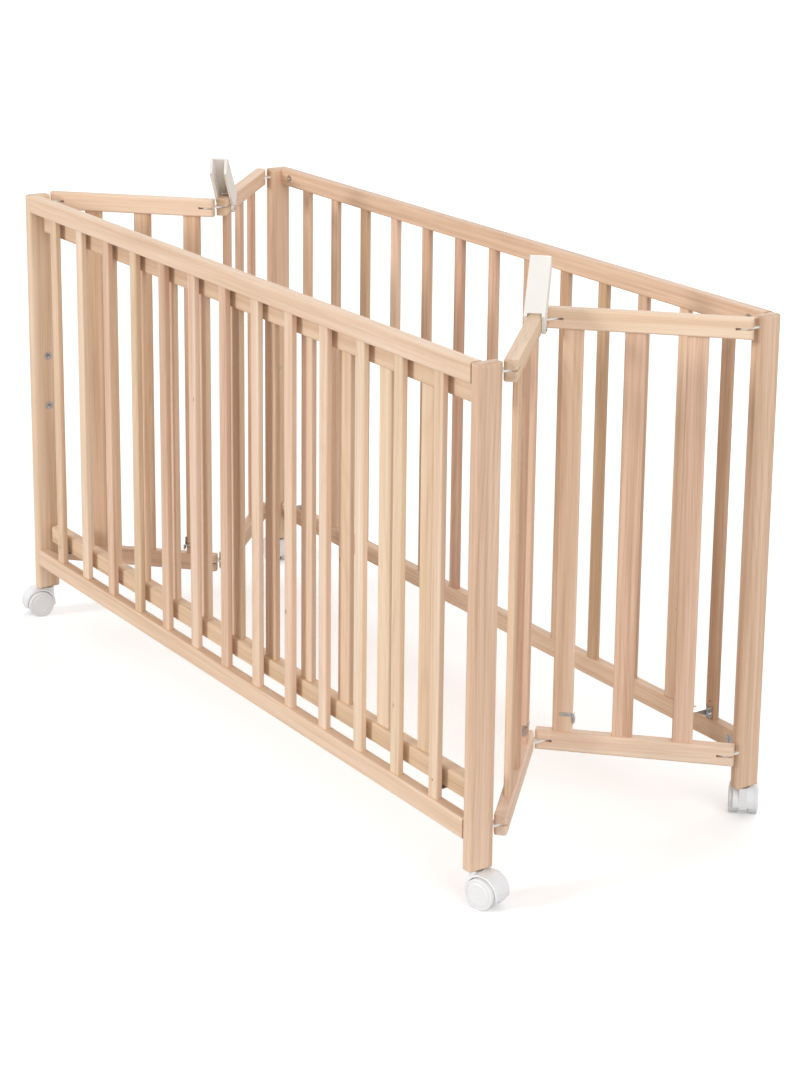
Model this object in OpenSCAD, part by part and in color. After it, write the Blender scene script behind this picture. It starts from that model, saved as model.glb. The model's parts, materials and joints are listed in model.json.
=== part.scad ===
// Folding playpen on casters, with hinged ends and a slatted base
// folded up against the near side. The ends fold inwards at the middle.
// X runs along the length, Y across from the near side, Z up from the floor.

/* [Overall] */
// Length over the corner posts
length = 1240; // [1000:10:1500]
// Height of the corner posts, without the casters
post_h = 667; // [550:1:820]
// Length of each half of a folding end
half_len = 272; // [225:1:330]
// Angle that each end half is folded in from straight
fold_angle = 45.5; // [5:0.5:75]

/* [Posts] */
// Width of a post along the length
post_w = 18; // [17:0.5:26]
// Depth of a post across the playpen
post_d = 38; // [36:1:50]
// Radius of the posts' long edges
post_r = 5; // [1:0.5:6]
// Radius of the posts' ends
post_end_r = 5; // [1:0.5:5]

/* [Rails] */
// Height of every side and end rail
rail_h = 28; // [26:1:36]
// Thickness of every side and end rail
rail_t = 18; // [15:0.5:22]
// Radius of the rails' long edges
rail_r = 3; // [1:0.5:5]
// Underside of the bottom rails above the foot of the posts
rail_lift = 41.5; // [20:0.5:60]

/* [Side slats] */
// Width of a side slat
slat_w = 20; // [14:1:28]
// Thickness of a side slat
slat_t = 9.5; // [7:0.5:12]
// Distance from one side slat to the next
slat_pitch = 88.3; // [70:0.1:100]
// Smallest space between the last slat and a post
slat_end_gap = 40; // [25:1:60]
// Radius of the slats' long edges
slat_r = 2.5; // [1:0.5:3]
// Depth that a slat enters its rail
tenon = 11; // [6:1:14]

/* [End slats] */
// Width of an end slat
end_slat_w = 28; // [20:1:34]
// Thickness of an end slat
end_slat_t = 9; // [7:0.5:12]
// Centre of the first end slat from the middle of the end
end_slat_first = 37; // [30:1:50]
// Distance from one end slat to the next
end_slat_pitch = 82; // [60:1:90]

/* [Fold joints] */
// Width of the hinge plates and links
plate_w = 14; // [11:0.5:16]
// Thickness of the hinge plates and links
plate_t = 2.5; // [2:0.1:6]
// Play above and below a plate in its kerf
kerf_play = 0.2; // [0.1:0.05:0.5]
// Space between a plate's end and the bottom of its kerf
kerf_end_play = 3; // [1:0.5:8]
// Bore of the saw relief at the bottom of a kerf
kerf_relief_d = 4; // [3.4:0.2:7]
// Length of a hinge plate inside its post
plate_root = 16; // [10:1:20]
// Diameter of the hinge pins
pin_d = 5; // [4:0.5:6]
// Hinge pin from the end of its rail
pin_inset = 12; // [11:0.5:16]
// Wood left above a hinge pin
pin_cover = 4; // [2:1:6]
// Hinge pin from the inner face of its post
pivot_gap = 18; // [16.5:0.5:24]
// Space between the two halves of an end when it is straight
mid_gap = 6; // [4:1:12]
// Radial play of a pin in a plate
pin_play = 0.05; // [0.02:0.01:0.1]

/* [Latches] */
// Length of a latch from its rivet to its free end
latch_len = 95; // [80:1:120]
// Angle that a latch stands up from closed
latch_angle = 50; // [40:1:60]
// Wall of a latch
latch_wall = 4.5; // [2.5:0.1:5]
// Side play of a latch on its rail
latch_play = 0.5; // [0.4:0.1:2]
// Play between a closed latch and the top of its rail
latch_top_play = 0.5; // [0.3:0.1:1]
// Latch rivet from the middle end of its rail
rivet_inset = 31.5; // [30:0.5:40]
// Latch rivet above the underside of its rail
rivet_lift = 8; // [6:0.5:9]
// Diameter of a latch rivet
rivet_d = 4.5; // [3.5:0.5:5]
// Diameter of a rivet's head
rivet_head_d = 8.5; // [7:0.5:11]

/* [Base] */
// Underside of the folded base above the foot of the posts
base_lift = 82.5; // [76:0.5:110]
// Top of the folded base below the top of the posts
base_drop = 12; // [8:1:60]
// Height of the base's lower rail, as folded
base_low_h = 28; // [26:1:40]
// Height of the base's upper rail, as folded
base_high_h = 48; // [30:1:60]
// Thickness of the base's rails
base_t = 20; // [18:1:22]
// Space between the folded base and the near rails
base_gap = 1.5; // [1:0.5:3]
// Space between each end of the base and a post
base_end_gap = 12; // [6:1:30]
// Width of a base slat
base_slat_w = 28; // [20:1:40]
// Thickness of a base slat
base_slat_t = 9; // [7:0.5:12]
// Distance from one base slat to the next
base_slat_pitch = 95.6; // [80:0.1:110]

/* [Base hardware] */
// Hinge pin of the base above the base's lower edge
base_pin_lift = 12; // [11:0.5:14]
// Hinge pin of the base from the base's inner face
base_pin_in = 6.5; // [6:0.5:8]
// Width of the base hinges and brackets
bracket_w = 12; // [11:1:18]
// Thickness of the steel brackets
steel_t = 1.6; // [1:0.1:2.5]
// Diameter of the small hole through the last slats
peep_d = 3; // [2:0.5:4]
// Reach of the far brackets from the outer face of the far side
bracket_reach = 48; // [30:1:49]
// Reach of an end hook from the middle of its slat
hook_reach = 15.5; // [11:0.5:15.5]
// Width of an end hook's strip
hook_w = 4.5; // [3:0.5:8]
// Height of an end hook's strip above its ledge
hook_lift = 10; // [0:0.5:14]

/* [Fittings] */
// Diameter of the cam fasteners in the side rails
cam_d = 14; // [12:0.5:15]
// Cam fastener from the post
cam_inset = 26; // [22:1:40]
// Diameter of the threaded inserts in the posts
insert_d = 14; // [10:0.5:15]
// Bore of the threaded inserts
insert_bore = 6; // [4:1:8]
// Lower insert above the foot of the posts
insert_z = 315; // [200:1:330]
// Distance between the two inserts
insert_pitch = 84; // [50:1:100]

/* [Casters] */
// Diameter of the wheels
wheel_d = 42; // [36:1:50]
// Width of one wheel
wheel_w = 13.5; // [10:0.5:16]
// Space between the foot of a post and the top of a wheel
wheel_drop = 3.5; // [3:0.5:8]
// Wheel axle behind the swivel axis
trail = 16; // [12:1:22]
// Thickness of the web between a pair of wheels
web_t = 11; // [10.5:0.5:14]
// Thickness of the hood's rim round a wheel
rim_t = 3; // [2:0.5:5]
// Width of a wheel that stands out of its hood
wheel_out = 5.5; // [1:0.5:8]
// Lower edge of a hood below its wheels' axle
hood_skirt = 5; // [0:0.5:9]
// Diameter of the swivel stem
stem_d = 7; // [6:0.5:8]
// Length of the stem inside its post
stem_up = 34; // [20:1:45]
// Diameter of the wheel axle
axle_d = 5; // [4:0.5:6]
// Direction of the near right caster's trail
swivel_near_right = 18; // [0:1:360]
// Direction of the near left caster's trail
swivel_near_left = 260; // [0:1:360]
// Direction of the far right caster's trail
swivel_far_right = 137; // [0:1:360]
// Direction of the far left caster's trail
swivel_far_left = 162; // [0:1:360]

/* [Hidden] */
$fn = 48;

BEECH = [0.87, 0.74, 0.57];
STEEL = [0.72, 0.73, 0.74];
NYLON = [0.95, 0.95, 0.93];

// Heights from the floor
foot_z = wheel_drop + wheel_d;
low_rail_z = foot_z + rail_lift;
top_rail_z = foot_z + post_h - rail_h;

// The folding ends: two halves, each pivoted on a post and on the middle links
link_len = 2 * pin_inset + mid_gap;
swing = half_len - 2 * pin_inset;
depth = 2 * (post_d + pivot_gap) + link_len + 2 * swing * cos(fold_angle);
near_y = -depth / 2;
post_x = (length - post_w) / 2;
inner_len = length - 2 * post_w;
pivot_y = near_y + post_d + pivot_gap;
half_low = low_rail_z;
half_top = top_rail_z;
kerf_h = plate_t + 2 * kerf_play;
kerf_depth = pin_inset + plate_w / 2 + kerf_end_play;

// Side slats stand in the middle of the rails, evenly about the middle of the side
slat_steps = floor((inner_len / 2 - slat_end_gap - slat_w / 2) / slat_pitch);
slat_y = near_y + rail_t / 2;
slat_face = slat_y + slat_t / 2;
outer_slat_x = slat_steps * slat_pitch;

// The folded base
base_y = near_y + rail_t + base_gap;
base_z = foot_z + base_lift;
base_top = foot_z + post_h - base_drop;
base_len = inner_len - 2 * base_end_gap;
base_pin_y = base_y + base_t - base_pin_in;
base_pin_z = base_z + base_pin_lift;
base_under = base_pin_z - base_pin_in;
eye_r = pin_d / 2 + 2.8;
notch_h = base_pin_lift + eye_r + 0.8;
notch_w = bracket_w + 2;
plate_foot = low_rail_z + rail_h + 1;
base_slat_steps = floor((outer_slat_x - notch_w / 2 - base_slat_w / 2) / base_slat_pitch);

// Casters, measured down from the foot of the post
axle_z = -(wheel_drop + wheel_d / 2);
well_r = wheel_d / 2 + 1;
hood_r = well_r + rim_t;
flange_t = 0.6;
hood_top = -(flange_t + 0.3);
wheel_in = web_t / 2 + 0.7;
hood_w = 2 * (wheel_in + wheel_w - wheel_out);
stem_down = 20;

// A rectangle with round corners, centred
module soft_rect(w, h, r) {
    square([w - 2 * r, h], center = true);
    square([w, h - 2 * r], center = true);
    for (x = [-1, 1], y = [-1, 1])
        translate([x * (w / 2 - r), y * (h / 2 - r)]) circle(r);
}

// A bar along X with soft long edges, its profile centred on the axis
module bar_x(len, t, h, r) {
    rotate([90, 0, 90]) linear_extrude(len) soft_rect(t, h, r);
}

// An upright slat, centred in plan
module upright(w, t, h, r) {
    linear_extrude(h) soft_rect(w, t, r);
}

// A long flat strip with round ends between two points on X
module stadium(len, w, t) {
    translate([0, -w / 2, 0]) cube([len, w, t]);
    for (x = [0, len]) translate([x, 0, 0]) cylinder(d = w, h = t);
}

// The far side and the left end repeat the near side and the right end
module turned() {
    rotate([0, 0, 180]) children();
}

module flipped_x() {
    mirror([1, 0, 0]) children();
}

module flipped_y() {
    mirror([0, 1, 0]) children();
}

// Posts: the right one of the near side
module post_blank() {
    intersection() {
        linear_extrude(post_h) soft_rect(post_w, post_d, post_r);
        translate([0, post_d, post_h / 2])
            rotate([90, 0, 0]) linear_extrude(2 * post_d) soft_rect(post_w, post_h, post_end_r);
        translate([-post_w, 0, post_h / 2])
            rotate([90, 0, 90]) linear_extrude(2 * post_w) soft_rect(post_d, post_h, post_end_r);
    }
}

module post() {
    color(BEECH) difference() {
        translate([post_x, near_y + post_d / 2, foot_z]) post_blank();
        for (z = [half_low, half_top]) plate_at(z);
        for (z = insert_heights()) insert_at(z, insert_d);
        translate([post_x, near_y + post_d / 2, foot_z]) stem_upper();
    }
}

function insert_heights() = [foot_z + insert_z, foot_z + insert_z + insert_pitch];

// A threaded insert sunk in the inner end face of the post
module insert_at(z, d) {
    translate([post_x - post_w / 2, near_y + rail_t + 8, z])
        rotate([0, 90, 0]) translate([0, 0, -0.01]) cylinder(d = d, h = 9);
}

// Side rails
module side_rail(z) {
    color(BEECH) difference() {
        translate([-inner_len / 2, near_y + rail_t / 2, z + rail_h / 2])
            bar_x(inner_len, rail_t, rail_h, rail_r);
        side_slat_set();
        for (s = [-1, 1]) cam_at(s, z);
    }
}

module cam_at(s, z) {
    translate([s * (inner_len / 2 - cam_inset), near_y + rail_t, z + rail_h / 2])
        rotate([90, 0, 0]) cylinder(d = cam_d, h = 12);
}

module side_slat_set() {
    slat_z = low_rail_z + rail_h - tenon;
    for (i = [-slat_steps : slat_steps])
        translate([i * slat_pitch, slat_y, slat_z])
            upright(slat_w, slat_t, top_rail_z + tenon - slat_z, slat_r);
}

// The last slats also have a small hole through them, level with the base's hinge pin
module side_slats(heights) {
    color(BEECH) difference() {
        side_slat_set();
        for (s = [-1, 1]) {
            for (z = heights) slat_screw(s, z);
            translate([s * outer_slat_x, slat_face + 1, base_pin_z])
                rotate([90, 0, 0]) cylinder(d = peep_d, h = slat_t + 2);
        }
    }
}

// Screws that hold a bracket's plate on the last slat at each end, from the inside
function screw_heights() = [plate_foot + 5, base_pin_z + 9.5];

module slat_screw(s, z) {
    translate([s * outer_slat_x, slat_face + steel_t, z])
        rotate([90, 0, 0]) cylinder(d = 4, h = slat_t + steel_t - 2);
}

module screw(s, z) {
    slat_screw(s, z);
    translate([s * outer_slat_x, slat_face + steel_t + 1.8, z])
        rotate([90, 0, 0]) cylinder(d = 7, h = 1.8);
}

// Hinge plates of the near side, one in the top and one in the foot of each post
module plate_at(z) {
    translate([post_x, pivot_y - pivot_gap - plate_root, z + rail_h / 2 - plate_t / 2])
        rotate([0, 0, 90]) difference() {
            union() {
                translate([0, -plate_w / 2, 0]) cube([plate_root + pivot_gap, plate_w, plate_t]);
                translate([plate_root + pivot_gap, 0, 0]) cylinder(d = plate_w, h = plate_t);
            }
            translate([plate_root + pivot_gap, 0, -1]) cylinder(d = pin_d + 2 * pin_play, h = plate_t + 2);
        }
}

module hinge_plates() {
    color(NYLON) for (z = [half_low, half_top]) {
        plate_at(z);
        flipped_x() plate_at(z);
    }
}

// Cam fasteners with a cross slot, and threaded inserts
module fittings() {
    color(STEEL) {
        for (z = [low_rail_z, top_rail_z], s = [-1, 1]) difference() {
            cam_at(s, z);
            translate([s * (inner_len / 2 - cam_inset), near_y + rail_t, z + rail_h / 2]) {
                cube([cam_d * 0.6, 3, 2], center = true);
                cube([2, 3, cam_d * 0.6], center = true);
            }
        }
        for (z = insert_heights()) {
            threaded_insert(z);
            flipped_x() threaded_insert(z);
        }
    }
}

module threaded_insert(z) {
    difference() {
        insert_at(z, insert_d);
        insert_at(z, insert_bore);
    }
}

module bracket_plate(s, top) {
    translate([s * outer_slat_x - bracket_w / 2, slat_face, plate_foot])
        cube([bracket_w, steel_t, top - plate_foot]);
}

// Hinges of the base: a plate on the last slat, with an arm that passes under the rail and rises to an eye
module base_hinge(s) {
    arm_z = base_z - 0.5 - steel_t;
    difference() {
        union() {
            bracket_plate(s, base_pin_z + 14);
            translate([s * outer_slat_x - bracket_w / 2, slat_face, arm_z])
                cube([bracket_w, base_pin_y + steel_t / 2 - slat_face, steel_t]);
            translate([s * outer_slat_x - bracket_w / 2, base_pin_y - steel_t / 2, arm_z])
                cube([bracket_w, steel_t, base_pin_z - arm_z]);
            translate([s * outer_slat_x - bracket_w / 2, base_pin_y, base_pin_z])
                rotate([0, 90, 0]) cylinder(r = eye_r, h = bracket_w);
        }
        translate([s * outer_slat_x - bracket_w, base_pin_y, base_pin_z])
            rotate([0, 90, 0]) cylinder(d = pin_d + 2 * pin_play, h = 2 * bracket_w);
        for (z = screw_heights()) slat_screw(s, z);
    }
    for (z = screw_heights()) screw(s, z);
}

module near_base_hinges() {
    color(STEEL) for (s = [-1, 1]) base_hinge(s);
}

// Brackets on the far side that carry the lowered base
module base_bracket(s) {
    ledge = near_y + bracket_reach - slat_face;
    ledge_z = base_under - steel_t - 0.3;
    rib_foot = plate_foot + 0.6 - ledge_z;
    difference() {
        union() {
            bracket_plate(s, ledge_z + steel_t);
            translate([s * outer_slat_x - bracket_w / 2, slat_face, ledge_z])
                cube([bracket_w, ledge, steel_t]);
            translate([s * outer_slat_x + bracket_w / 2 - steel_t, slat_face, ledge_z])
                rotate([90, 0, 90]) linear_extrude(steel_t) polygon([[0, 0], [ledge, 0], [0, rib_foot]]);
        }
        slat_screw(s, screw_heights()[0]);
    }
    screw(s, screw_heights()[0]);
}

module far_base_brackets() {
    color(STEEL) turned() for (s = [-1, 1]) base_bracket(s);
}

// Stems of the casters, pressed into the posts
module stem_upper() {
    translate([0, 0, -0.01]) cylinder(d = stem_d, h = stem_up + 0.01);
}

module stem() {
    translate([post_x, near_y + post_d / 2, foot_z]) {
        translate([0, 0, -stem_down]) cylinder(d = stem_d, h = stem_down + stem_up);
        translate([0, 0, -flange_t]) cylinder(d = post_w - 1, h = flange_t);
    }
}

module caster_stems() {
    color(STEEL) {
        stem();
        flipped_x() stem();
    }
}

// Places a piece of an end half: X from its post pivot to the middle, +Y towards the inside when straight
module half_frame() {
    translate([post_x, pivot_y, 0]) rotate([0, 0, 90 + fold_angle]) children();
}

// Rails of an end half, rounded at the ends, with a kerf and a pin hole at each end
module half_rail_blank(z) {
    intersection() {
        translate([-pin_inset, 0, z + rail_h / 2]) bar_x(half_len, rail_t, rail_h, rail_r);
        translate([half_len / 2 - pin_inset, 0, z - 1])
            linear_extrude(rail_h + 2) soft_rect(half_len, rail_t, 5);
    }
}

module half_rail(z) {
    mid_z = z + rail_h / 2;
    difference() {
        half_rail_blank(z);
        for (end = [0, 1]) translate([end * swing, 0, 0]) mirror([end, 0, 0]) {
            translate([-pin_inset - 1, -rail_t, mid_z - kerf_h / 2])
                cube([kerf_depth + 1, 2 * rail_t, kerf_h]);
            translate([kerf_depth - pin_inset, rail_t, mid_z])
                rotate([90, 0, 0]) cylinder(d = kerf_relief_d, h = 2 * rail_t);
        }
        hinge_pins(z);
        half_slat_set();
    }
}

module hinge_pins(z) {
    for (x = [0, swing]) translate([x, 0, z]) cylinder(d = pin_d, h = rail_h - pin_cover);
}

module half_top_rail(latched) {
    color(BEECH) half_frame() difference() {
        half_rail(half_top);
        if (latched) rivet_shank();
    }
}

module half_bottom_rail() {
    color(BEECH) half_frame() half_rail(half_low);
}

function half_slat_x(i) = swing + pin_inset - end_slat_first - i * end_slat_pitch;

module half_slat_set() {
    slat_z = half_low + rail_h - tenon;
    for (i = [0 : 2])
        translate([half_slat_x(i), 0, slat_z])
            upright(end_slat_w, end_slat_t, half_top + tenon - slat_z, slat_r);
}

module half_slats(latched) {
    color(BEECH) half_frame() difference() {
        half_slat_set();
        if (latched) rivet_shank();
    }
}

module half_pins(latched) {
    color(STEEL) half_frame() {
        hinge_pins(half_low);
        hinge_pins(half_top);
        if (latched) rivet();
    }
}

// Hook that helps to carry the lowered base: a strip round the edge of the slat nearest the middle
module half_hook() {
    edge_x = half_slat_x(0) - end_slat_w / 2;
    out_y = -end_slat_t / 2 - steel_t;
    top_z = base_under - 0.3;
    strip_z = top_z + hook_lift;
    color(STEEL) half_frame() {
        translate([edge_x, out_y, strip_z - hook_w]) cube([17, steel_t, hook_w]);
        translate([edge_x - steel_t, out_y, top_z - 5]) cube([steel_t, end_slat_t + 2 * steel_t, hook_lift + 5]);
        translate([edge_x - steel_t, end_slat_t / 2 + 0.01, top_z - 9])
            cube([steel_t, hook_reach - end_slat_t / 2 - 0.01, 9]);
        translate([edge_x - 0.01, end_slat_t / 2 + 0.01, top_z - steel_t])
            cube([12, hook_reach - end_slat_t / 2 - 0.01, steel_t]);
    }
}

// Rivet and latch
rivet_x = swing + pin_inset - rivet_inset;
rivet_z = half_top + rivet_lift;
latch_w = rail_t + 2 * (latch_play + latch_wall);
latch_in = rail_h - rivet_lift + latch_top_play;
latch_out = latch_in + latch_wall;
web_start = (rail_h - rivet_lift + 0.3 - latch_in * cos(latch_angle)) / sin(latch_angle);
ear_r = 7.5;

module rivet_shank() {
    translate([rivet_x, latch_w / 2 + 0.2, rivet_z])
        rotate([90, 0, 0]) cylinder(d = rivet_d, h = latch_w + 0.4);
}

module rivet() {
    rivet_shank();
    for (s = [-1, 1]) translate([rivet_x, s * (latch_w / 2 + 0.9), rivet_z])
        rotate([90, 0, 0]) cylinder(d = rivet_head_d, h = 1.4, center = true);
}

// Side outline of a closed latch, with its rivet at the origin
module latch_side() {
    circle(ear_r);
    polygon([[-7, 2.7], [5, latch_out], [latch_len - 2, latch_out], [latch_len, latch_out - 2],
             [latch_len, latch_out - 6], [latch_len - 13, 2], [7, -2.5]]);
}

module latch() {
    color(NYLON) half_frame() translate([rivet_x, 0, rivet_z]) rotate([0, -latch_angle, 0]) {
        for (s = [-1, 1]) difference() {
            translate([0, s * (latch_w - latch_wall) / 2 + latch_wall / 2, 0])
                rotate([90, 0, 0]) linear_extrude(latch_wall) latch_side();
            translate([0, latch_w, 0]) rotate([90, 0, 0])
                cylinder(d = rivet_d + 2 * pin_play, h = 2 * latch_w);
        }
        intersection() {
            translate([web_start, -latch_w / 2, latch_in]) cube([latch_len - web_start, latch_w, latch_wall]);
            translate([0, latch_w / 2, 0]) rotate([90, 0, 0]) linear_extrude(latch_w) latch_side();
        }
    }
}

// Links between the two halves of the right end
module end_links() {
    mid_x = post_x - swing * sin(fold_angle);
    color(NYLON) for (z = [half_low, half_top])
        translate([mid_x, -link_len / 2, z + rail_h / 2 - plate_t / 2]) rotate([0, 0, 90]) difference() {
            stadium(link_len, plate_w, plate_t);
            for (x = [0, link_len]) translate([x, 0, -1]) cylinder(d = pin_d + 2 * pin_play, h = plate_t + 2);
        }
}

// Base: two rails and a row of slats, evenly about the middle
module base_bar(z, h) {
    translate([-base_len / 2, base_y + base_t / 2, z + h / 2]) bar_x(base_len, base_t, h, rail_r);
}

module base_slat_set() {
    slat_z = base_z + base_low_h - tenon;
    slat_top = base_top - base_high_h + tenon;
    for (i = [-base_slat_steps : base_slat_steps])
        translate([i * base_slat_pitch, base_y + base_t / 2, slat_z])
            upright(base_slat_w, base_slat_t, slat_top - slat_z, slat_r);
}

module base_lower_rail() {
    color(BEECH) difference() {
        base_bar(base_z, base_low_h);
        base_slat_set();
        for (s = [-1, 1]) {
            translate([s * outer_slat_x - notch_w / 2, base_pin_y - eye_r - 0.8, base_z - 1])
                cube([notch_w, base_t, notch_h + 1]);
            base_pin(s);
        }
    }
}

module base_pin(s) {
    translate([s * outer_slat_x - notch_w / 2 - 10, base_pin_y, base_pin_z])
        rotate([0, 90, 0]) cylinder(d = pin_d, h = notch_w + 20);
}

module base_upper_rail() {
    color(BEECH) difference() {
        base_bar(base_top - base_high_h, base_high_h);
        base_slat_set();
    }
}

// Casters: the swivel axis is the origin, the foot of the post is at Z = 0, the wheels trail along +X
module hood_outline() {
    intersection() {
        union() {
            translate([trail, axle_z]) circle(hood_r);
            translate([-9, -28]) square([trail + 9, 28]);
        }
        translate([-50, -100 + hood_top]) square([100 + trail, 100]);
    }
}

// The full width of the hood is a rim over the inner half of each wheel
module rim_outline() {
    intersection() {
        translate([trail, axle_z]) circle(hood_r);
        translate([-50, axle_z - hood_skirt]) square([100 + trail, 100]);
        translate([-50, -100 + hood_top]) square([100 + trail, 100]);
    }
}

module web_outline() {
    intersection() {
        hood_outline();
        translate([-50, axle_z - 8]) square([100 + trail, 100]);
    }
}

module hood() {
    difference() {
        union() {
            translate([0, hood_w / 2, 0]) rotate([90, 0, 0]) linear_extrude(hood_w) rim_outline();
            translate([0, web_t / 2, 0]) rotate([90, 0, 0]) linear_extrude(web_t) web_outline();
        }
        for (s = [-1, 1]) translate([trail, s * (web_t / 2 + hood_w / 2), axle_z])
            rotate([90, 0, 0]) cylinder(r = well_r, h = hood_w, center = true);
        translate([0, 0, -stem_down - 0.5]) cylinder(d = stem_d + 2 * pin_play, h = stem_down + 5);
        axle();
    }
}

module axle() {
    half = wheel_in + wheel_w - 3;
    translate([trail, half, axle_z]) rotate([90, 0, 0]) cylinder(d = axle_d, h = 2 * half);
}

// One wheel: a tread with soft edges, a sunk ring and a low crown on its cap
module wheel() {
    r = wheel_d / 2;
    rotate_extrude($fn = 96) difference() {
        union() {
            square([r - 1.5, wheel_w]);
            translate([0, 1.5]) square([r, wheel_w - 3]);
            for (z = [1.5, wheel_w - 1.5]) translate([r - 1.5, z]) circle(1.5);
            polygon([[0, wheel_w - 0.1], [r * 0.75, wheel_w - 0.1], [r * 0.68, wheel_w + 0.7], [0, wheel_w + 0.7]]);
        }
        translate([r * 0.8, wheel_w - 0.6]) square([r * 0.07, 2]);
        translate([0, -1]) square([axle_d / 2 + pin_play, wheel_w - 2.6 + 1]);
        translate([axle_d + 2, -1]) square([r * 0.45, 3]);
    }
}

module wheels() {
    for (s = [0, 1]) mirror([0, s, 0])
        translate([trail, wheel_in, axle_z]) rotate([-90, 0, 0]) wheel();
}

module caster_frame(sx, sy, swivel) {
    translate([sx * post_x, sy * (near_y + post_d / 2) * -1, foot_z]) rotate([0, 0, swivel]) children();
}

module caster_hood(sx, sy, swivel) {
    color(NYLON) caster_frame(sx, sy, swivel) hood();
}

module caster_wheels(sx, sy, swivel) {
    color(NYLON) caster_frame(sx, sy, swivel) wheels();
}

module caster_axle(sx, sy, swivel) {
    color(STEEL) caster_frame(sx, sy, swivel) axle();
}

flipped_x() post();  // near_left_post
post();  // near_right_post
side_rail(top_rail_z);  // near_top_rail
side_rail(low_rail_z);  // near_bottom_rail
side_slats(screw_heights());  // near_slats
hinge_plates();  // near_hinge_plates
fittings();  // near_fittings
near_base_hinges();
caster_stems();  // near_caster_stems
turned() post();  // far_left_post
flipped_y() post();  // far_right_post
turned() side_rail(top_rail_z);  // far_top_rail
turned() side_rail(low_rail_z);  // far_bottom_rail
turned() side_slats([screw_heights()[0]]);  // far_slats
turned() hinge_plates();  // far_hinge_plates
turned() fittings();  // far_fittings
far_base_brackets();
turned() caster_stems();  // far_caster_stems

half_top_rail(true);  // right_near_top_rail
half_bottom_rail();  // right_near_bottom_rail
half_slats(true);  // right_near_slats
half_pins(true);  // right_near_pins
half_hook();  // right_near_hook
flipped_y() half_top_rail(false);  // right_far_top_rail
flipped_y() half_bottom_rail();  // right_far_bottom_rail
flipped_y() half_slats(false);  // right_far_slats
flipped_y() half_pins(false);  // right_far_pins
flipped_y() half_hook();  // right_far_hook
flipped_x() half_top_rail(false);  // left_near_top_rail
flipped_x() half_bottom_rail();  // left_near_bottom_rail
flipped_x() half_slats(false);  // left_near_slats
flipped_x() half_pins(false);  // left_near_pins
flipped_x() half_hook();  // left_near_hook
turned() half_top_rail(true);  // left_far_top_rail
turned() half_bottom_rail();  // left_far_bottom_rail
turned() half_slats(true);  // left_far_slats
turned() half_pins(true);  // left_far_pins
turned() half_hook();  // left_far_hook
end_links();  // right_links
turned() end_links();  // left_links
latch();  // right_latch
turned() latch();  // left_latch

base_lower_rail();
base_upper_rail();
color(BEECH) base_slat_set();  // base_slats
color(STEEL) for (s = [-1, 1]) base_pin(s);  // base_hinge_pins

caster_hood(-1, -1, swivel_near_left);  // near_left_caster_hood
caster_wheels(-1, -1, swivel_near_left);  // near_left_wheels
caster_axle(-1, -1, swivel_near_left);  // near_left_axle
caster_hood(1, -1, swivel_near_right);  // near_right_caster_hood
caster_wheels(1, -1, swivel_near_right);  // near_right_wheels
caster_axle(1, -1, swivel_near_right);  // near_right_axle
caster_hood(-1, 1, swivel_far_left);  // far_left_caster_hood
caster_wheels(-1, 1, swivel_far_left);  // far_left_wheels
caster_axle(-1, 1, swivel_far_left);  // far_left_axle
caster_hood(1, 1, swivel_far_right);  // far_right_caster_hood
caster_wheels(1, 1, swivel_far_right);  // far_right_wheels
caster_axle(1, 1, swivel_far_right);  // far_right_axle
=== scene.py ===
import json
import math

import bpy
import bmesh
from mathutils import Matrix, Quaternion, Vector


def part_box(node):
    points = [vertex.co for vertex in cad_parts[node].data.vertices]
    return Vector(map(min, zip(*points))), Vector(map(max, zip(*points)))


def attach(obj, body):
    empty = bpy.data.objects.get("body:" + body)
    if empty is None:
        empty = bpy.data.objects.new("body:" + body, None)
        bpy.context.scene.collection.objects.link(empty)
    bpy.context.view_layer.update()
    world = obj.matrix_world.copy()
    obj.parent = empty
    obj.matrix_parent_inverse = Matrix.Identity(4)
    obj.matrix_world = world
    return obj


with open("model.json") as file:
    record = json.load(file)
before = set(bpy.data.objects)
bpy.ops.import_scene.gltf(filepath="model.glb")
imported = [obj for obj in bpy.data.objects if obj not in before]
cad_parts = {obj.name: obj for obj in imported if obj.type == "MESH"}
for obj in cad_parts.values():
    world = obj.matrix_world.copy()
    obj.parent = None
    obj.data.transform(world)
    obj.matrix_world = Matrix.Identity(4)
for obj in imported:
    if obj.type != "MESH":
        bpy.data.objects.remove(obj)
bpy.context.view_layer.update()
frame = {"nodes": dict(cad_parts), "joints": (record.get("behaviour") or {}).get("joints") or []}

# %% [markdown]
# # A folding playpen in beech
# The frame above brings in every part of the playpen as a finished solid, in metres, standing on the
# floor with its length along X. Nothing here moves or resizes those parts. This file gives them their
# wood, plastic and metal, adds the small things that are too fine for the construction model, and sets
# up the room they are looked at in.

nodes = frame["nodes"]
joints = {joint["name"]: joint for joint in frame["joints"]}
MM = 0.001


def new_object(name, data):
    """An object with this mesh, curve, lamp or camera, put into the scene."""
    thing = bpy.data.objects.new(name, data)
    bpy.context.scene.collection.objects.link(thing)
    return thing


# %% [markdown]
# ## The camera
# A tall object looks natural when its uprights stay upright in the picture. A shifting lens does that:
# the camera looks a little less steeply down, and the lens is slid down instead. `shift_y` does the
# same here. A long lens from a few metres away keeps the far posts nearly as tall as the near ones.

# %% Camera
CAMERA_AT = Vector((2.888, -1.912, 1.471))
CAMERA_AIM = Vector((0.0, 0.064, 0.594))
CAMERA_ROLL = math.radians(0.63)
LENS_MM = 81.9
LENS_SLIDE = -0.2
FARTHEST_SEEN_M = 100


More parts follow.
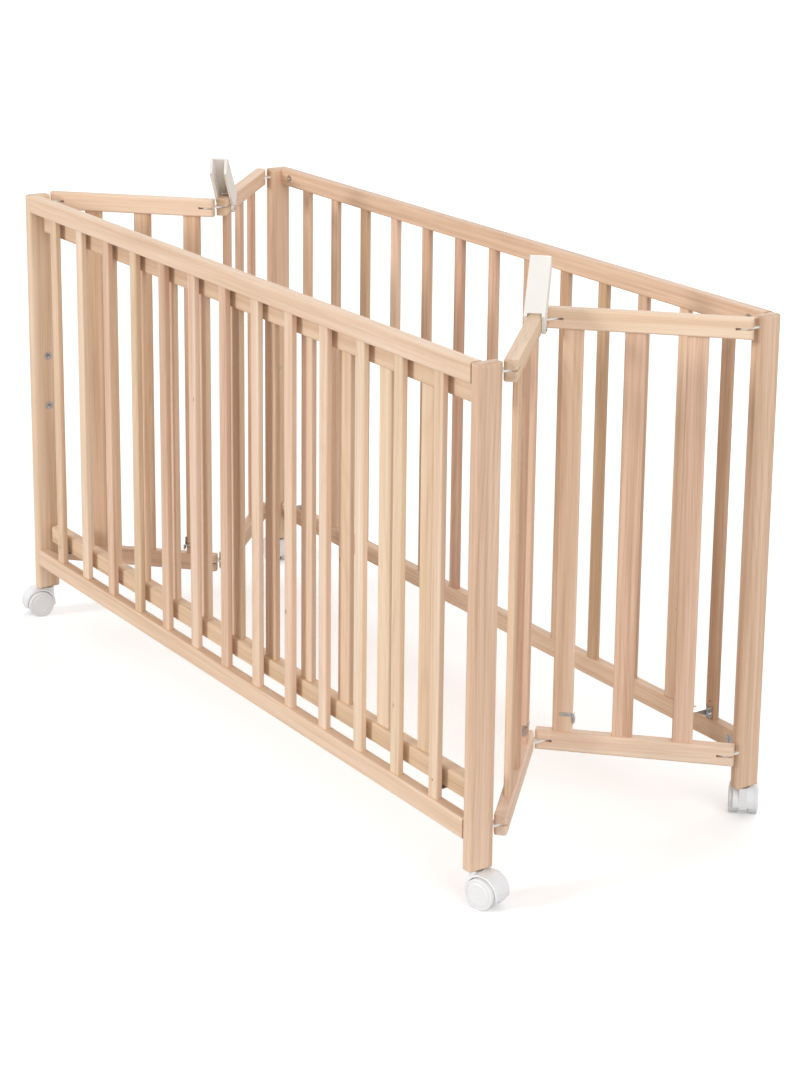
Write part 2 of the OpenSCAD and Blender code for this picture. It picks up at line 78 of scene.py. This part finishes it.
def add_camera():
    lens = bpy.data.cameras.new("camera")
    lens.lens = LENS_MM
    lens.shift_y = LENS_SLIDE
    lens.clip_end = FARTHEST_SEEN_M
    camera = new_object("camera", lens)
    camera.location = CAMERA_AT
    camera.rotation_mode = "QUATERNION"
    look = (CAMERA_AIM - CAMERA_AT).to_track_quat("-Z", "Y")
    camera.rotation_quaternion = look @ Quaternion((0, 0, 1), CAMERA_ROLL)
    bpy.context.scene.camera = camera


add_camera()
print("camera distance in m:", round((CAMERA_AIM - CAMERA_AT).length, 2))

# %% [markdown]
# ## Colours
# Colours are written as the hex values that a paint chart would give, because those are easy to
# compare with a real board. The renderer works in linear light, so one function turns hex into linear.

# %% Colour helper
def linear(hex_colour):
    """The colour in linear light, by the sRGB curve: straight near black, and a power above it."""
    def channel(value):
        value /= 255
        return value / 12.92 if value <= 0.04045 else ((value + 0.055) / 1.055) ** 2.4
    number = int(hex_colour.lstrip("#"), 16)
    return tuple(channel(number >> shift & 255) for shift in (16, 8, 0)) + (1.0,)


print("mid beech in linear light:", [round(c, 3) for c in linear("#DDBB9C")])

# %% [markdown]
# ## Shader nodes
# A material is a tree of nodes, each doing one small sum. They could be placed by hand in the editor,
# but written down they can be read, and made again for every row of boards. One function adds a node,
# sets what it does and fills its inputs, which keeps each material short enough to read as a recipe.

# %% Node helpers
MODE_OF = {"TexWhiteNoise": "noise_dimensions", "Mix": "data_type"}


def fill(tree, node, *values, **named):
    """Fills a node's open inputs, in order or by name. A value is a number or a colour, a socket to
    link to, or another node, which gives its first open output."""
    filled = list(zip([socket for socket in node.inputs if socket.enabled], values))
    filled += [(node.inputs[name.replace("_", " ")], value) for name, value in named.items()]
    for socket, value in filled:
        if isinstance(value, bpy.types.Node):
            value = next(output for output in value.outputs if output.enabled)
        if isinstance(value, bpy.types.NodeSocket):
            tree.links.new(value, socket)
        else:
            socket.default_value = value


def add_node(tree, kind, mode=None, *values, **named):
    """Adds a shader node and fills its inputs. The mode is its operation, or what MODE_OF says."""
    node = tree.nodes.new("ShaderNode" + kind)
    if mode:
        setattr(node, MODE_OF.get(kind, "operation"), mode)
    fill(tree, node, *values, **named)
    return node


def new_material(name):
    material = bpy.data.materials.new(name)
    material.use_nodes = True
    tree = material.node_tree
    return material, tree, tree.nodes["Principled BSDF"]


print("kinds of node whose mode is not an operation:", list(MODE_OF))

# %% [markdown]
# ## The floor
# The playpen stands on a plain white studio floor that runs far out of view. A white floor throws a
# lot of light up at the object, so its real tone is a light grey. Only the camera sees it as plain
# white: its ray picks a white surface with a little glow added, and that surface still shows the
# object's soft shadow.

# %% Floor
FLOOR_HALF_M = 60.0
FLOOR_TONE = "#CFCECD"
FLOOR_ROUGHNESS = 0.9
FLOOR_LIFT = 0.24
WHITE = (1, 1, 1, 1)


def add_floor():
    mesh = bpy.data.meshes.new("studio_floor")
    corners = [(x * FLOOR_HALF_M, y * FLOOR_HALF_M, 0) for x, y in ((-1, -1), (1, -1), (1, 1), (-1, 1))]
    mesh.from_pydata(corners, [], [(0, 1, 2, 3)])
    floor = new_object("studio_floor", mesh)
    material, tree, surface = new_material("white_studio_floor")
    fill(tree, surface, Base_Color=linear(FLOOR_TONE), Roughness=FLOOR_ROUGHNESS, Specular_IOR_Level=0.0)
    white = add_node(tree, "BsdfDiffuse", Color=WHITE)
    lift = add_node(tree, "Emission", Color=WHITE, Strength=FLOOR_LIFT)
    seen = add_node(tree, "AddShader", None, white, lift)
    camera_ray = add_node(tree, "LightPath").outputs["Is Camera Ray"]
    both = add_node(tree, "MixShader", None, camera_ray, surface, seen)
    fill(tree, tree.nodes["Material Output"], Surface=both)
    mesh.materials.append(material)


add_floor()
print("floor tone in linear light:", [round(c, 3) for c in linear(FLOOR_TONE)])

# %% [markdown]
# ## The light
# An even sky fills every side. A fairly small lamp stands low in front of the long side and a little
# to the left, so each slat throws a narrow crisp shadow on the rail behind it. A large soft lamp on
# the right lights the ends, and a weaker one behind keeps the back from looking dull. Their strengths
# add up to about one on every face that they reach, so a colour comes out about as it is written. To
# the camera, and mirrored in metal, the sky is plain white. How much soft light it sheds on the object
# is set apart from that, by its level.

# %% Light
SKY_LEVEL = 0.52
# Each lamp: the way that its light comes from, its level, and how many degrees of the sky it fills
LAMPS = {
    "front_lamp": ((-0.26, -1.0, 0.30), 0.48, 14),
    "right_lamp": ((1.0, -0.12, 0.34), 0.49, 60),
    "back_lamp": ((-0.6, 1.0, 0.6), 0.30, 60),
}


def light_sky():
    world = bpy.data.worlds.new("studio_sky")
    world.use_nodes = True
    bpy.context.scene.world = world
    tree = world.node_tree
    path = add_node(tree, "LightPath").outputs
    seen = add_node(tree, "Math", "MAXIMUM", path["Is Camera Ray"], path["Is Glossy Ray"])
    seen = add_node(tree, "Math", "MAXIMUM", seen, path["Is Transmission Ray"])
    level = add_node(tree, "MapRange", Value=seen, To_Min=SKY_LEVEL, To_Max=1.0)
    fill(tree, tree.nodes["Background"], Color=WHITE, Strength=level)


def add_lamp(name, comes_from, level, softness_degrees):
    """A lamp so far away that its rays are parallel. A level of 1 lights a face turned to it in full."""
    data = bpy.data.lights.new(name, "SUN")
    data.energy = level * math.pi
    data.angle = math.radians(softness_degrees)
    lamp = new_object(name, data)
    lamp.rotation_mode = "QUATERNION"
    lamp.rotation_quaternion = Vector(comes_from).to_track_quat("Z", "Y")


def light_on(face):
    """How much of the lamps' light a face turned that way gets, with nothing in between."""
    return sum(level * max(0.0, Vector(way).normalized().dot(face)) for way, level, _ in LAMPS.values())


light_sky()
for name, lamp in LAMPS.items():
    add_lamp(name, *lamp)
bpy.context.scene.view_settings.view_transform = "Standard"
print("lamps alone, on top, front and right faces:",
      [round(light_on(Vector(face)), 2) for face in ((0, 0, 1), (0, -1, 0), (1, 0, 0))])

# %% [markdown]
# ## Beech
# Beech is a pale, even wood: cream with a touch of pink, ring lines that hardly show, and a peppering
# of short brown flecks where the rays of the tree are cut across. Here and there is a pin knot, no
# bigger than a match head. Planed, sanded and sealed with a thin matt lacquer, it has a soft sheen
# and no gloss. A picture of wood wrapped round a board would show seams and wrong end grain, so the
# wood here is solid: each point of a board is coloured by where it lies in the tree.
#
# Every pattern is a noise or a field of cells, stretched to its size along and across the board. The
# fibres of beech are a few hundredths of a millimetre thick. That is too fine to show from here, so
# they are drawn 0.7 mm wide.

# %% Patterns of beech, with their sizes in millimetres
# Each pattern: its size along and across the board, its kind of texture and that texture's settings
PATTERNS = {
    "wander": ((420.0, 70.0), "TexNoise", {"Detail": 1.5, "Roughness": 0.4}),
    "bands": ((900.0, 26.0), "TexNoise", {"Detail": 2.0, "Roughness": 0.5}),
    "streaks": ((260.0, 6.0), "TexNoise", {"Detail": 3.0, "Roughness": 0.6}),
    "fibres": ((55.0, 0.7), "TexNoise", {"Detail": 2.0, "Roughness": 0.6}),
    "flecks": ((4.5, 1.1), "TexVoronoi", {}),
    "knots": ((170.0, 55.0), "TexVoronoi", {}),
}


def board_patterns(tree, point, shift):
    """Each pattern's texture on a board. Flecks and knots give the distance to the nearest one."""
    made = {}
    for pattern, ((along_mm, across_mm), kind, settings) in PATTERNS.items():
        steps = (1 / (MM * along_mm), 1 / (MM * across_mm), 1 / (MM * across_mm))
        place = add_node(tree, "VectorMath", "MULTIPLY_ADD", point, steps, shift)
        made[pattern] = add_node(tree, kind, Vector=place, Scale=1.0, **settings)
    return made


print("patterns, along and across in mm:", {pattern: size for pattern, (size, _, _) in PATTERNS.items()})

# %% [markdown]
# One material serves a whole row of slats. The row is counted off in pitches, and each count draws
# its own random numbers: where the tree's heart lay, how pale and how pink the board is. So no two
# boards match, and none repeats its neighbour's figure.

# %% Which board a point lies in
# Another number here draws all boards anew
DRAW_SEED = 0.37


def find_board(tree, along, across, pitch_mm, seed):
    """The point's place along, across and through the boards, how far it lies from its own board's
    middle, and that board's three random numbers."""
    place = add_node(tree, "TexCoord").outputs["Object"]
    sides = [add_node(tree, "VectorMath", "DOT_PRODUCT", place, axis)
             for axis in (along, across, along.cross(across))]
    pitches = add_node(tree, "Math", "MULTIPLY", sides[1], 1 / (MM * pitch_mm))
    board = add_node(tree, "Math", "ROUND", pitches)
    number = add_node(tree, "Math", "ADD", board, seed + DRAW_SEED)
    draws = add_node(tree, "TexWhiteNoise", "1D", W=number).outputs["Color"]
    off_middle = add_node(tree, "Math", "MULTIPLY_ADD", board, -MM * pitch_mm, sides[1])
    return sides, off_middle, draws


print("each row draws from its own number plus", DRAW_SEED)

# %% [markdown]
# A tree grows a ring a year, so a point's ring follows from how far it is from the heart of the tree.
# Rings then run as lines along the faces and as arcs on the ends, as on a real board. The heart lies
# off to one side of the board, the tree leans a little, and its rings bend as they go up.

# %% Ring lines
RING_MM = 1.9
RING_SHARPNESS = 3.0
# The heart lies up to this far to either side, and from 0.4 to 1.4 times as far behind the board
HEART_MM = 120.0
HEART_BEHIND = 0.4
LEAN = 0.012
BEND_MM = 16


def ring_lines(tree, sides, off_middle, own, wander):
    """1 on a ring line and 0 between two of them."""
    heart_across = add_node(tree, "Math", "MULTIPLY_ADD", own[0], MM * 2 * HEART_MM, -MM * HEART_MM)
    heart_deep = add_node(tree, "Math", "MULTIPLY_ADD", own[1], MM * HEART_MM, MM * HEART_BEHIND * HEART_MM)
    to_heart = add_node(tree, "CombineXYZ", X=add_node(tree, "Math", "SUBTRACT", off_middle, heart_across),
                        Y=add_node(tree, "Math", "SUBTRACT", sides[2], heart_deep))
    distance = add_node(tree, "VectorMath", "LENGTH", to_heart)
    lean = add_node(tree, "Math", "MULTIPLY", sides[0], LEAN)
    bend = add_node(tree, "Math", "MULTIPLY_ADD", wander, MM * BEND_MM, lean)
    radius = add_node(tree, "Math", "ADD", distance, bend)
    turns = add_node(tree, "Math", "MULTIPLY", radius, 2 * math.pi / (MM * RING_MM))
    wave = add_node(tree, "Math", "SINE", turns)
    wave = add_node(tree, "Math", "MULTIPLY_ADD", wave, 0.5, 0.5)
    return add_node(tree, "Math", "POWER", wave, RING_SHARPNESS)


print("rings", RING_MM, "mm apart, heart up to", HEART_MM, "mm to either side")

# %% [markdown]
# A board's shade starts from a tone of its own. Broad bands and narrow streaks make most of the
# figure, fine fibres break it up, and ring lines and flecks darken it a little. The sum picks a colour
# between the darkest and the palest beech.

# %% The shade of a board
BASE_TONE = 0.30
OWN_TONE = 0.40
NOISE_DEPTHS = {"bands": 0.95, "streaks": 0.95, "fibres": 0.34}
RING_DEPTH = 0.10
FLECK_DEPTH = 0.11
# Each spot is full inside the first distance and gone at the second, counted in sizes of its pattern
SPOT_EDGES = {"flecks": (0.10, 0.24), "knots": (0.012, 0.032)}


def board_spots(tree, patterns):
    """1 on a fleck or a knot and 0 beside it."""
    return {pattern: add_node(tree, "MapRange", Value=patterns[pattern], From_Min=inner, From_Max=outer,
                              To_Min=1.0, To_Max=0.0) for pattern, (inner, outer) in SPOT_EDGES.items()}


def board_shade(tree, own, patterns, rings, flecks, tone):
    """From 0 at the darkest beech to 1 at the palest."""
    # The tone added here carries painted shade for the far side's rails and slats and for the ends' slats
    shade = add_node(tree, "Math", "MULTIPLY_ADD", own[2], OWN_TONE, BASE_TONE + tone)
    for pattern, depth in NOISE_DEPTHS.items():
        layer = add_node(tree, "Math", "MULTIPLY_ADD", patterns[pattern], depth, -0.5 * depth)
        shade = add_node(tree, "Math", "ADD", shade, layer)
    for dark, depth in ((rings, RING_DEPTH), (flecks, FLECK_DEPTH)):
        shade = add_node(tree, "Math", "MULTIPLY_ADD", dark, -depth, shade)
    return shade


print("a board's own tone runs from", BASE_TONE, "to", BASE_TONE + OWN_TONE)

# %% [markdown]
# The colour follows the shade, turned a hair towards pink or yellow from board to board. End grain
# soaks up more lacquer, so it is a shade darker. Sanding leaves the fibres standing a few hundredths
# of a millimetre proud of the ring lines, which is just enough to break up the sheen of the lacquer.

# %% One beech material for a row of boards
BEECH_TONES = ("#C19B7C", "#E2C2A5", "#F2DCC5")
KNOT_TONE = "#8A5A3C"
# The pinkest and the yellowest board, where 0.5 leaves the colour as it is
HUES = (0.4905, 0.5085)
# How far apart two boards may lie in a pattern, counted in its sizes
APART = 40.0
# How straight a face looks along the grain: side grain below the first, end grain above the second
END_FACING = (0.6, 0.95)
END_SHADE = 0.88
LACQUER_ROUGHNESS = 0.44
FIBRE_ROUGHNESS = 0.16
RELIEF_MM = 0.08
RELIEF_STRENGTH = 0.3
RING_RELIEF = 0.5


def beech(name, along, across, pitch_mm, seed, tone):
    """Beech with its grain along the first way, for boards in a row along the second."""
    material, tree, surface = new_material(name)
    sides, off_middle, draws = find_board(tree, along, across, pitch_mm, seed)
    own = add_node(tree, "SeparateXYZ", Vector=draws).outputs
    shift = add_node(tree, "VectorMath", "SCALE", draws, Scale=APART)
    point = add_node(tree, "CombineXYZ", None, *sides)
    patterns = board_patterns(tree, point, shift)
    spots = board_spots(tree, patterns)
    rings = ring_lines(tree, sides, off_middle, own, patterns["wander"])
    shade = board_shade(tree, own, patterns, rings, spots["flecks"], tone)

    ramp = add_node(tree, "ValToRGB", Fac=shade)
    dark, pale = ramp.color_ramp.elements
    dark.color, pale.color = linear(BEECH_TONES[0]), linear(BEECH_TONES[2])
    ramp.color_ramp.elements.new(0.5).color = linear(BEECH_TONES[1])
    hue = add_node(tree, "MapRange", Value=own[1], To_Min=HUES[0], To_Max=HUES[1])
    colour = add_node(tree, "HueSaturation", Hue=hue, Color=ramp)
    colour = add_node(tree, "Mix", "RGBA", spots["knots"], colour, linear(KNOT_TONE))

    normal = add_node(tree, "TexCoord").outputs["Normal"]
    facing = add_node(tree, "VectorMath", "DOT_PRODUCT", normal, along)
    facing = add_node(tree, "Math", "ABSOLUTE", facing)
    soaked = add_node(tree, "MapRange", Value=facing, From_Min=END_FACING[0], From_Max=END_FACING[1],
                      To_Min=1.0, To_Max=END_SHADE)
    colour = add_node(tree, "VectorMath", "SCALE", colour, Scale=soaked)

    sheen = add_node(tree, "Math", "MULTIPLY_ADD", patterns["fibres"], FIBRE_ROUGHNESS, LACQUER_ROUGHNESS)
    relief = add_node(tree, "Math", "MULTIPLY_ADD", rings, -RING_RELIEF, patterns["fibres"])
    bump = add_node(tree, "Bump", Strength=RELIEF_STRENGTH, Distance=RELIEF_MM * MM, Height=relief)
    fill(tree, surface, Base_Color=colour, Roughness=sheen, Normal=bump)
    return material


print("beech runs from", BEECH_TONES[0], "over", BEECH_TONES[1], "to", BEECH_TONES[2])

# %% [markdown]
# ## Which way each board lies
# Boards are sawn along the grain, which is where wood is strong. Posts and slats stand, so their grain
# runs up. Side rails run along X, and the rails of the folding ends run from their post to the middle
# link. Those ways are read from the hinges in the frame, so the grain follows the rails if the ends
# are built at another fold.

# %% Ways of the boards
UP = Vector((0, 0, 1))
LENGTHWISE = Vector((1, 0, 0))


def half_direction(post_joint, link_joint):
    way = Vector(joints[link_joint]["pos_m"]) - Vector(joints[post_joint]["pos_m"])
    way.z = 0
    return way.normalized()


END_WAYS = {
    "right_near": half_direction("fold", "right_link_near_pin"),
    "right_far": half_direction("right_far_post_pin", "right_link_far_pin"),
    "left_near": half_direction("left_near_post_pin", "left_link_near_pin"),
}
END_WAYS["left_far"] = Vector((-END_WAYS["right_near"].x, -END_WAYS["right_near"].y, 0))
print("ways of the folding ends:", {half: [round(c, 2) for c in way] for half, way in END_WAYS.items()})

# %% [markdown]
# A part's name says whether it is a post, a rail or a row of slats, so its grain, pitch and tone are
# picked by name. A post or a rail is a single board, so its pitch is wider than the playpen is long.
# The posts are the palest boards of this playpen. The far side's rails and slats and the ends' slats
# are a little darker than those in front. That darkening is painted shade for the weaker light deeper
# inside the playpen.

# %% Give every wooden part its beech
WOODEN = ("_post", "_rail", "_slats")
SIDE_PITCH_MM = 88.3
BASE_PITCH_MM = 95.6
END_PITCH_MM = 82.0
ONE_BOARD_MM = 5000
# How much paler or, below zero, darker than the rest. The far and end values below zero are painted shade
TONES_AND_PAINTED_SHADE = {"post": 0.10, "rail": 0.02, "slats": 0.0,
         "far_rail": -0.18, "far_slats": -0.17, "end_slats": -0.18}


def dress(node_name, material):
    for slot in nodes[node_name].material_slots:
        slot.material = material


def lay(name):
    """How the boards of a wooden part lie: along, across, their pitch and their tone. The tone holds
    painted shade for the far side's rails and slats and for the ends' slats.
    """
    half = next((key for key in END_WAYS if name.startswith(key)), None)
    far = "far_" if name.startswith("far") else ""
    if name.endswith("_post"):
        return UP, LENGTHWISE, ONE_BOARD_MM, TONES_AND_PAINTED_SHADE["post"]
    if name.endswith("_rail"):
        return END_WAYS[half] if half else LENGTHWISE, UP, ONE_BOARD_MM, TONES_AND_PAINTED_SHADE[f"{far}rail"]
    if half:
        return UP, END_WAYS[half], END_PITCH_MM, TONES_AND_PAINTED_SHADE["end_slats"]
    pitch_mm = BASE_PITCH_MM if name.startswith("base") else SIDE_PITCH_MM
    return UP, LENGTHWISE, pitch_mm, TONES_AND_PAINTED_SHADE[f"{far}slats"]


for seed, name in enumerate(sorted(nodes)):
    if name.endswith(WOODEN):
        along, across, pitch_mm, tone = lay(name)
        dress(name, beech(f"beech_{name}", along, across, pitch_mm, seed, tone))
print("wooden parts:", sum(name.endswith(WOODEN) for name in nodes))

# %% [markdown]
# ## White plastics
# The latches, hinge plates and links are moulded nylon: slightly warm white, with a soft sheen and
# the faint orange peel of a spark-eroded mould. Light goes a few millimetres into nylon before it
# comes out again, which softens its shadows. The casters are glossier, cooler ABS. Melted plastic
# flows in clouds, so the tone drifts by a few hundredths. The real peel is finer than a fifth of a
# millimetre, too fine to show from here, so it is drawn about a millimetre wide.

# %% Nylon and ABS
CLOUD_MM = 30
CLOUD_TINT = (0.96, 1.03)
SHEEN_SPREAD = 0.05
PEEL_STRENGTH = 0.4
NYLON_GLOW = 0.45
NYLON_GLOW_MM = 4.0
# Red light goes deepest, then green, then blue
GLOW_SPREAD = (1.0, 0.75, 0.5)


def moulded(name, hex_colour, roughness, peel_mm, peel_depth_mm, **more):
    material, tree, surface = new_material(name)
    place = add_node(tree, "TexCoord").outputs["Object"]
    peel = add_node(tree, "TexNoise", Vector=place, Scale=1 / (MM * peel_mm), Detail=2.0)
    cloud = add_node(tree, "TexNoise", Vector=place, Scale=1 / (MM * CLOUD_MM))
    tint = add_node(tree, "MapRange", Value=cloud, To_Min=CLOUD_TINT[0], To_Max=CLOUD_TINT[1])
    colour = add_node(tree, "VectorMath", "SCALE", linear(hex_colour)[:3], Scale=tint)
    sheen = add_node(tree, "MapRange", Value=peel, To_Min=roughness - SHEEN_SPREAD,
                     To_Max=roughness + SHEEN_SPREAD)
    bump = add_node(tree, "Bump", Strength=PEEL_STRENGTH, Distance=MM * peel_depth_mm, Height=peel)
    fill(tree, surface, Base_Color=colour, Roughness=sheen, Normal=bump, **more)
    return material


nylon = moulded("white_nylon", "#EAE8E3", roughness=0.42, peel_mm=0.8, peel_depth_mm=0.03,
                Subsurface_Weight=NYLON_GLOW, Subsurface_Radius=GLOW_SPREAD,
                Subsurface_Scale=NYLON_GLOW_MM * MM)
hood_abs = moulded("caster_hood_abs", "#EFEFF0", roughness=0.28, peel_mm=1.5, peel_depth_mm=0.01)
wheel_abs = moulded("caster_wheel_abs", "#EBEAEA", roughness=0.38, peel_mm=1.0, peel_depth_mm=0.02)
print("plastics:", [material.name for material in (nylon, hood_abs, wheel_abs)])

# %% [markdown]
# ## Plated steel
# Pins, hooks and brackets are mild steel with a bright zinc coat: a light grey metal, whose small
# crystals lie at slightly different angles and so differ a little in tone and gloss. On a plated part
# they are too fine to see, so they are drawn 2.5 mm wide.

# %% Zinc
CRYSTAL_MM = 2.5
ZINC_TONES = ("#BFC1C3", "#E4E4E3")
ZINC_ROUGHNESS = (0.14, 0.28)


def zinc(name):
    material, tree, surface = new_material(name)
    place = add_node(tree, "TexCoord").outputs["Object"]
    crystal = add_node(tree, "TexVoronoi", Vector=place, Scale=1 / (MM * CRYSTAL_MM)).outputs["Color"]
    tone = add_node(tree, "SeparateXYZ", Vector=crystal)
    ramp = add_node(tree, "ValToRGB", Fac=tone)
    for end, hex_colour in zip(ramp.color_ramp.elements, ZINC_TONES):
        end.color = linear(hex_colour)
    rough = add_node(tree, "MapRange", Value=tone, To_Min=ZINC_ROUGHNESS[0], To_Max=ZINC_ROUGHNESS[1])
    fill(tree, surface, Metallic=1.0, Base_Color=ramp, Roughness=rough)
    return material


plated = zinc("zinc_plated_steel")
print("metal:", plated.name)

# %% [markdown]
# The finish of every other part is picked by how its name ends, and what isn't in the list is steel.
# One short list is easier to check than a line for each part.

# %% Give the other parts their plastic or metal
FINISHES = {"_caster_hood": hood_abs, "_wheels": wheel_abs,
            "latch": nylon, "links": nylon, "hinge_plates": nylon}
for name in nodes:
    if not name.endswith(WOODEN):
        found = (finish for ending, finish in FINISHES.items() if name.endswith(ending))
        dress(name, next(found, plated))
print("materials:", len(bpy.data.materials))

# %% [markdown]
# ## Threads in the posts
# The posts carry steel inserts with a metric thread, so a screw can be taken out and put back many
# times without wearing the wood. The thread is a helix, one round of it for each pitch. It could be
# a mesh, but a curve with a round bevel gives it from a few points a turn. It lies against the wall
# of the insert's bore, so it catches the light as the crests of a thread do.

# %% Insert threads
INSERT_BORE_MM = 6.0
# From the face of the post that looks to the near side, and from its foot
INSERT_ACROSS_MM = {"near": 26, "far": 12}
INSERT_HEIGHTS_MM = (315.0, 399.0)
THREAD_PITCH_MM = 1.0
THREAD_TURNS = 7
THREAD_START_MM = 0.6
THREAD_WIRE_MM = 0.32
THREAD_GAP_MM = 0.1
STEPS_A_TURN = 16


def thread(name, start, inward):
    """A helix of wire against the wall of a bore that runs along X."""
    curve = bpy.data.curves.new(name, "CURVE")
    curve.dimensions = "3D"
    curve.bevel_depth = THREAD_WIRE_MM * MM
    curve.bevel_resolution = 1
    line = curve.splines.new("POLY")
    line.points.add(THREAD_TURNS * STEPS_A_TURN)
    radius = (INSERT_BORE_MM / 2 - THREAD_GAP_MM) * MM
    for i, point in enumerate(line.points):
        angle = 2 * math.pi * i / STEPS_A_TURN
        along = inward * (THREAD_START_MM + THREAD_PITCH_MM * i / STEPS_A_TURN) * MM
        point.co = (start.x + along, start.y + radius * math.cos(angle),
                    start.z + radius * math.sin(angle), 1)
    curve.materials.append(plated)
    return new_object(name, curve)


threads = []
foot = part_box("near_left_post")[0][2]
for side in ("near", "far"):
    for end in ("left", "right"):
        post_low, post_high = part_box(f"{side}_{end}_post")
        face = post_high[0] if end == "left" else post_low[0]
        inward = -1 if end == "left" else 1
        across = post_low[1] + INSERT_ACROSS_MM[side] * MM
        for height in INSERT_HEIGHTS_MM:
            start = Vector((face, across, foot + height * MM))
            piece = thread(f"{side}_{end}_thread_{height:.0f}", start, inward)
            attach(piece, f"{side}_side")
            threads.append(piece)
print("threads:", len(threads))

# %% [markdown]
# ## Screw heads
# The base's hinges and the far brackets are held by pan-head screws, whose heads are a low dome with
# a cross pressed into it for the driver. The dome is a profile turned round its axis, as on a lathe.
# Two crossed blocks cut the cross with a boolean, which keeps its edges sharp. The cut is applied at
# once, so that a plain mesh is left.

# %% Tools for a screw head
LATHE_SIDES = 32


def lathe(name, profile, sides=LATHE_SIDES):
    """A mesh turned round Z from a list of (radius, height) pairs, closed where the radius is 0."""
    bm = bmesh.new()
    turns = [2 * math.pi * k / sides for k in range(sides)]
    rows = [[bm.verts.new((r * math.cos(t), r * math.sin(t), z)) for t in (turns if r else turns[:1])]
            for r, z in profile]
    for lower, upper in zip(rows, rows[1:]):
        for k in range(sides):
            corners = [lower[k % len(lower)], lower[(k + 1) % len(lower)],
                       upper[(k + 1) % len(upper)], upper[k % len(upper)]]
            bm.faces.new(list(dict.fromkeys(corners)))
    mesh = bpy.data.meshes.new(name)
    bm.to_mesh(mesh)
    bm.free()
    return new_object(name, mesh)


def cut_cross(piece, length, width, bottom, top):
    """Cuts two crossed slots into the piece, from above down to the given height."""
    bm = bmesh.new()
    for sizes in ((length, width), (width, length)):
        block = bmesh.ops.create_cube(bm, size=1)
        bmesh.ops.scale(bm, vec=(*sizes, top - bottom), verts=block["verts"])
        bmesh.ops.translate(bm, vec=(0, 0, (top + bottom) / 2), verts=block["verts"])
    mesh = bpy.data.meshes.new("cross_cutter")
    bm.to_mesh(mesh)
    bm.free()
    cutter = new_object("cross_cutter", mesh)
    cut = piece.modifiers.new("cross", "BOOLEAN")
    cut.operation = "DIFFERENCE"
    cut.solver = "EXACT"
    cut.use_self = True
    cut.object = cutter
    bpy.context.view_layer.update()
    done = bpy.data.meshes.new_from_object(piece.evaluated_get(bpy.context.evaluated_depsgraph_get()))
    piece.modifiers.clear()
    piece.data = done
    bpy.data.objects.remove(cutter)


print("a turned ring has", LATHE_SIDES, "sides")

# %% [markdown]
# Each hinge of the base shows two screws, one above the other, and each far bracket shows one. They
# were driven in from the inside, so a head is made standing on Z and then turned to look inwards.

# %% Screw heads of the base's hinges and brackets
SCREW_RADIUS_MM = 3.5
SCREW_SUNK_MM = 0.4
DOME_MM = 1.1
DOME_STEPS = 6
CROSS_MM = (3.6, 0.9)
CROSS_FLOOR_MM = 0.15
# From the middle of the playpen to either end and to either side, and up from the floor
SCREW_X_MM = 529.8
SCREW_FACE_MM = 227.67
SCREW_HEIGHTS_MM = {"near": (121.0, 149.5), "far": (121.0,)}


def screw_head(name, at, inwards):
    r, h = SCREW_RADIUS_MM * MM, DOME_MM * MM
    slopes = [math.pi / 2 * k / DOME_STEPS for k in range(DOME_STEPS)]
    rim = [(r * math.cos(t), h * math.sin(t)) for t in slopes]
    piece = lathe(name, [(0, -SCREW_SUNK_MM * MM), (r, -SCREW_SUNK_MM * MM)] + rim + [(0, h)])
    cut_cross(piece, CROSS_MM[0] * MM, CROSS_MM[1] * MM, CROSS_FLOOR_MM * MM, 2 * h)
    piece.data.materials.append(plated)
    piece.matrix_world = Matrix.Translation(at) @ Matrix.Rotation(math.radians(-90 * inwards), 4, "X")
    return piece


made = 0
for side, heights in SCREW_HEIGHTS_MM.items():
    way = -1 if side == "near" else 1
    for end in (-1, 1):
        for height in heights:
            at = Vector((end * SCREW_X_MM, way * SCREW_FACE_MM, height)) * MM
            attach(screw_head(f"{side}_screw_{made}", at, -way), f"{side}_side")
            made += 1
print("screw heads:", made)
